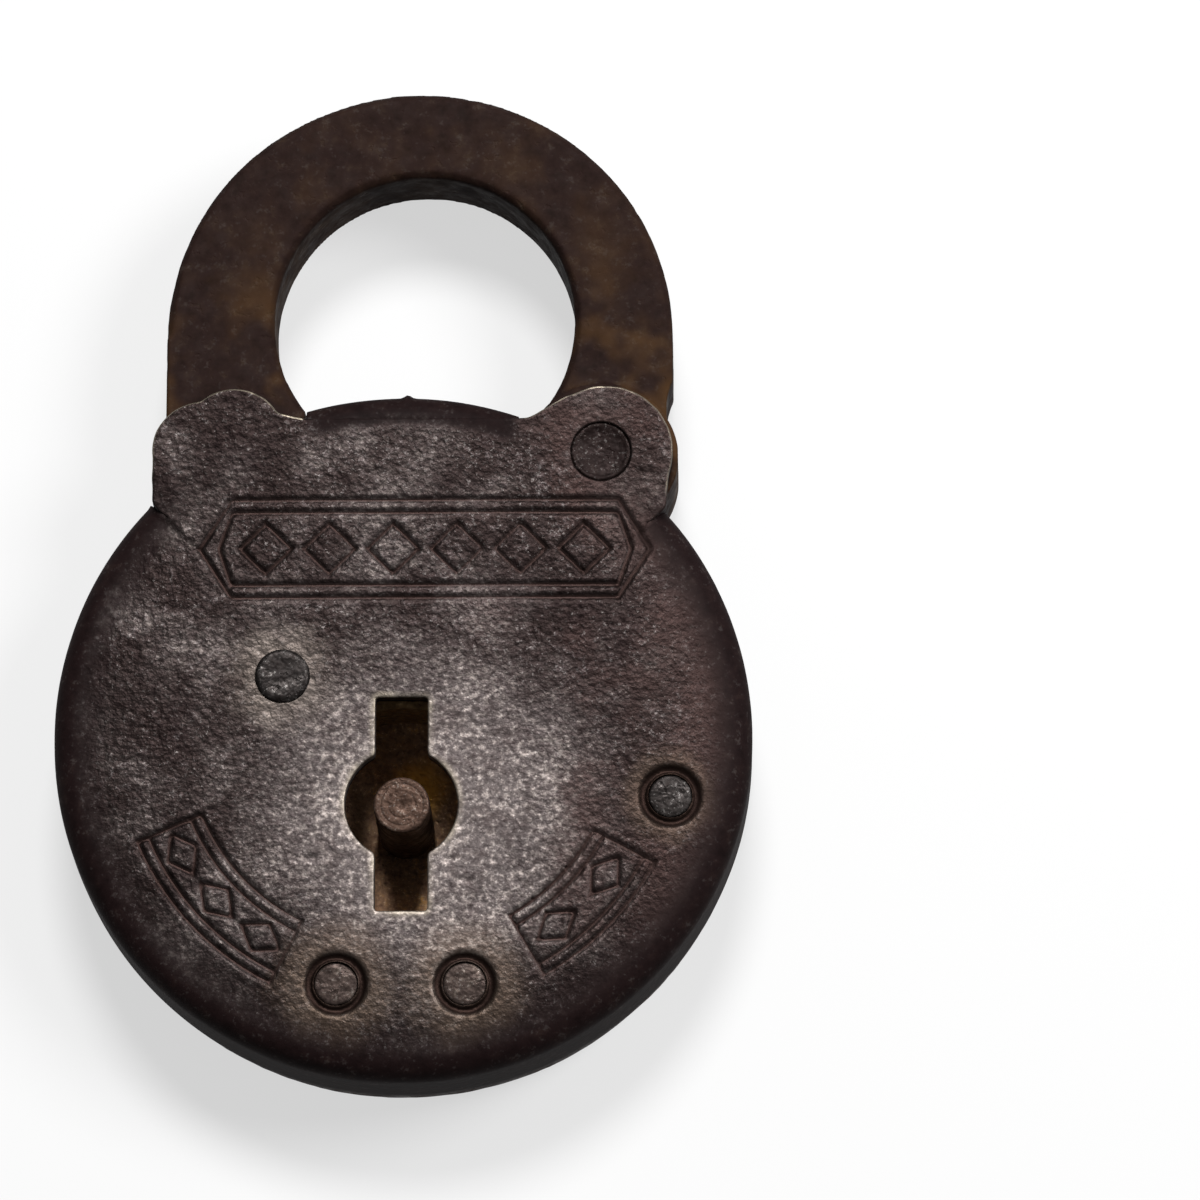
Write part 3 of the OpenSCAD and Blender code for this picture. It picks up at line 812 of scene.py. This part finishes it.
def back_steel():
    """Back shell: pitted brown skin outside, yellow-brown rust inside, with a bright golden spot by the keyhole that is
    partly golden rust and partly painted light.
    """
    m, tree, shader, v = new_material("pitted back steel", 0.3, 0.04)
    outside = skin(tree, v, (24, 17, 16), (38, 29, 27), (60, 50, 46), 0.7, 0.5, 0.2)
    stain = spread(tree, noise_node(tree, v, 6.0, 4.0, 0.65), 0.5, 0.7, 0.0, 0.7)
    outside = mix_colour(tree, stain, outside, tint(56, 40, 29))
    rust = skin(tree, v, (92, 68, 56), (142, 112, 88), (206, 158, 96), 0.6, 0.48, 1.0)
    # Bright golden spot inside the keyhole: partly golden rust, partly painted light falling into the keyhole.
    rust_and_lit_spot = round_mask(tree, v, KEY + (1.2, 3.6), 0.6, 3.2, 0.8)
    rust = mix_colour(tree, times(tree, rust_and_lit_spot, 0.8), rust, tint(236, 170, 70))
    inside = times(tree, spread(tree, axis_mm(tree, v, 2), 1.0, 1.3), spread(tree, radius_mm(tree, v), 27.2, 26.9))
    rough = spread(tree, noise_node(tree, v, 1.5), 0.3, 0.7, 0.48, 0.7)
    finish_material(tree, shader, mix_colour(tree, inside, outside, rust), rough, grain_height(tree, v, 0.5, 0.6), 0.14)
    return m


def face_steel():
    """Pressed face: dark skin, pale with wear and a painted sheen round the keyhole, dirt in grooves and round rivets,
    painted shade in the gap round each rivet, and a near-black rim that is painted shade.
    """
    m, tree, shader, v = new_material("worn face steel", 0.8, 0.03)
    dark = skin(tree, v, (15, 10, 10), (28, 22, 21), (56, 49, 49), 0.6, 0.5, 0.2)
    pale = skin(tree, v, (34, 28, 28), (70, 64, 63), (138, 128, 123), 0.55, 0.53, 0.35)
    # Pale patch round the keyhole: partly real wear, partly a painted sheen where light glances off the face.
    wear_and_sheen = round_mask(tree, v, KEY + (2.0, -1.0), 3.0, 18.5, 0.55)
    cloud = spread(tree, noise_node(tree, v, 9.0, 3.0, 0.6), 0.42, 0.72, 0.0, 0.28)
    share = larger(tree, wear_and_sheen, cloud)
    colour = mix_colour(tree, share, dark, pale)
    blotch = times(tree, wear_and_sheen, spread(tree, noise_node(tree, v, 1.5, 3.0, 0.6), 0.48, 0.66, 0.0, 0.45))
    colour = mix_colour(tree, blotch, colour, tint(44, 36, 35))
    brown = plus(tree, axis_mm(tree, v, 0), spread(tree, noise_node(tree, v, 8.0), 0.3, 0.7, -9.0, 9.0))
    colour = mix_colour(tree, spread(tree, brown, 8.0, 26.0, 0.0, 0.6), colour, tint(44, 33, 31))

    tan, grey = tint(84, 71, 60), tint(98, 90, 84)
    stains = ((DISHES[0], 2.6, 6.4, 0.6, 0.32, tan), (DISHES[1], 2.6, 6.0, 0.6, 0.32, tan),
              (DISHES[2], 2.6, 4.6, 0.6, 0.2, tan), (DOG, 1.8, 5.4, 1.1, 0.4, grey))
    for at, inner, outer, ragged, strength, tone in stains:
        colour = mix_colour(tree, times(tree, round_mask(tree, v, at, inner, outer, ragged), strength), colour, tone)
    cut = attribute(tree, "groove")
    colour = mix_colour(tree, spread(tree, cut, 0.1, 0.8), colour, tint(34, 25, 23))
    # Painted shade: a dark ring in the gap between each rivet and its dish.
    for at in DISHES:
        rivet_gap_shade = round_mask(tree, v, at, 2.3, 2.65, 0.08)
        colour = mix_colour(tree, times(tree, rivet_gap_shade, 0.8), colour, tint(25, 17, 14))

    # Painted shade: the sloping rim, the side wall below 11.9 mm and the band along the top rim are coloured near
    # black.
    height = axis_mm(tree, v, 2)
    sloped_rim_shade = times(tree, spread(tree, radius_mm(tree, v), 23.6, 27.0), spread(tree, height, 12.8, 11.9))
    painted_rim_shade = larger(tree, larger(tree, spread(tree, height, 11.9, 11.2), sloped_rim_shade), attribute(tree, "top_rim_shade"))
    rim_shade_skin = skin(tree, v, (12, 6, 6), (19, 11, 11), (30, 21, 19), 1.2, 0.5, 0.05)
    colour = mix_colour(tree, painted_rim_shade, colour, rim_shade_skin)
    colour = mix_colour(tree, attribute(tree, "bare_edge"), colour, tint(190, 178, 158))

    rough = plus(tree, spread(tree, share, 0.0, 1.0, 0.46, 0.48), times(tree, painted_rim_shade, 0.2))
    tree.links.new(spread(tree, painted_rim_shade, 0.0, 0.9, 0.8, 0.0), shader.inputs["Metallic"])
    quiet = larger(tree, times(tree, painted_rim_shade, 0.75), times(tree, cut, 0.9))
    quiet = larger(tree, quiet, times(tree, wear_and_sheen, 0.65))
    relief = times(tree, grain_height(tree, v, 0.3, 0.3), math_node(tree, "SUBTRACT", 1.0, quiet))
    finish_material(tree, shader, colour, rough, relief, 0.065)
    return m


def rusty(name, dark, middle, light, grain=0.6, lightness=0.5, specks=0.3, rough=0.6, metallic=0.4,
          patch=None, bump_mm=0.08, low_patch=None, specular=0.06):
    """Plain rusty metal, with patches of another screen colour where one is given.

    With low_patch, the patches fade between those two heights along y.
    """
    m, tree, shader, v = new_material(name, metallic, specular)
    colour = skin(tree, v, dark, middle, light, grain, lightness, specks)
    if patch:
        mask = spread(tree, noise_node(tree, v, 7.0, 3.0, 0.6), 0.42, 0.7, 0.0, 0.5)
        if low_patch:
            mask = times(tree, mask, spread(tree, axis_mm(tree, v, 1), *low_patch, 1.0, 0.25))
        colour = mix_colour(tree, mask, colour, tint(*patch))
    roughness = spread(tree, noise_node(tree, v, 1.5), 0.3, 0.7, rough - 0.1, rough + 0.12)
    finish_material(tree, shader, colour, roughness, grain_height(tree, v, grain * 0.8, 0.5), bump_mm)
    return m


RIVET = rusty("rivet steel", (22, 18, 17), (35, 32, 31), (60, 56, 55), specks=0.4, rough=0.45, metallic=0.75)
BROWN_RIVET = rusty("brown rivet steel", (26, 20, 18), (46, 38, 35), (76, 67, 61), specks=0.2, rough=0.48,
                    metallic=0.6)
PIVOT_STEEL = rusty("brown pivot steel", (14, 9, 8), (23, 16, 15), (40, 32, 30), specks=0.2, rough=0.5, metallic=0.5)
by_slot = {
    "case_steel": face_steel(),
    "back_steel": back_steel(),
    "shackle_steel": rusty("brown shackle steel", (19, 12, 10), (27, 18, 16), (38, 29, 23), grain=1.4, specks=0.03,
                           metallic=0.05, patch=(68, 47, 24), bump_mm=0.07, low_patch=(30, 44), specular=0.015),
    "rivet_steel": RIVET,
    "post_steel": rusty("turned post steel", (34, 24, 19), (56, 42, 35), (86, 71, 61), grain=0.5, rough=0.48,
                        metallic=0.5),
    "lever_brass": rusty("tarnished brass", (98, 74, 56), (156, 126, 90), (208, 172, 118), lightness=0.48, specks=0.4,
                         rough=0.5, metallic=0.5, patch=(84, 54, 26)),
    "spring_steel": rusty("spring steel", (40, 38, 38), (70, 68, 68), (110, 106, 102), grain=0.5, rough=0.4,
                          metallic=0.8),
    "inner_steel": rusty("rust-stained steel", (86, 64, 52), (138, 108, 82), (186, 152, 112), specks=0.4, rough=0.65,
                         metallic=0.2),
}
slot_of = {row["node"]: row["material_slot"] for row in frame["record"]["subparts"]}
body_of = {n: b for b, nodes in frame["record"]["behaviour"]["bodies"].items() for n in nodes}


def dress(piece, node):
    piece.data.materials.clear()
    piece.data.materials.append(by_slot[slot_of[node]])


def stands_for(piece, node):
    """Puts a finer piece in place of a CAD node, inside the node's own box."""
    low, high = box_mm(node)
    set_points(piece.data, np.clip(points_of(piece.data), low + 0.002, high - 0.002))
    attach(piece, body_of[node])
    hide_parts(node)
    dress(piece, node)


stands_for(front, "front_case")
stands_for(back, "back_case")
stands_for(bow, "shackle")
stands_for(post, "key_post")
for node, piece in rivets.items():
    stands_for(piece, node)
rivets["pivot_rivet"].data.materials[0] = PIVOT_STEEL
for node in ("left_lever_rivet", "right_lever_rivet"):
    rivets[node].data.materials[0] = BROWN_RIVET
for node, obj in frame["nodes"].items():
    dress(obj, node)


# ---- studio ----

def floor_piece():
    half = 3.0
    mesh = bpy.data.meshes.new("studio_floor")
    mesh.from_pydata([(-half, -half, 0), (half, -half, 0), (half, half, 0), (-half, half, 0)], [], [(0, 1, 2, 3)])
    m = bpy.data.materials.new("pale floor")
    m.use_nodes = True
    shader = m.node_tree.nodes["Principled BSDF"]
    for title, value in (("Base Color", (0.16, 0.16, 0.16, 1)), ("Emission Color", (1, 1, 1, 1)),
                         ("Emission Strength", 0.62), ("Roughness", 0.9), ("Specular IOR Level", 0.1)):
        shader.inputs[title].default_value = value
    mesh.materials.append(m)
    return put("studio_floor", mesh)


floor_piece()

# A sky that is bright overhead and nearly black at the sides.
world = bpy.data.worlds.new("soft studio")
world.use_nodes = True
sky = world.node_tree
upward = add(sky, "ShaderNodeTexCoord").outputs["Generated"]
upward = add(sky, "ShaderNodeSeparateXYZ", {0: upward}).outputs[2]
tone = mix_colour(sky, spread(sky, upward, 0.3, 1.0), (0.03, 0.03, 0.03, 1), (1, 1, 1, 1))
sky.links.new(tone, sky.nodes["Background"].inputs[0])
sky.nodes["Background"].inputs[1].default_value = 0.35
bpy.context.scene.world = world


def soft_light(name, place, size, power):
    """A round soft light aimed at the middle of the case."""
    data = bpy.data.lights.new(name, "AREA")
    data.shape, data.size, data.energy = "DISK", size, power
    lamp = put(name, data)
    lamp.location = place
    lamp.rotation_euler = (-Vector(place)).to_track_quat("-Z", "Y").to_euler()


soft_light("key_light", (0.0, 0.5, 0.74), 0.28, 12.5)
soft_light("side_light", (0.55, 0.2, 0.62), 0.35, 8.0)

camera_data = bpy.data.cameras.new("camera")
camera_data.lens = 235.6
camera_data.sensor_width = 36
camera_data.clip_start, camera_data.clip_end = 0.01, 20
camera = put("camera", camera_data)
camera.location = (0.0260, -0.1382, 0.6351)
camera.rotation_euler = tuple(math.radians(a) for a in (13.47, 0.91, 0.0))
bpy.context.scene.camera = camera
bpy.context.scene.view_settings.view_transform = "Standard"
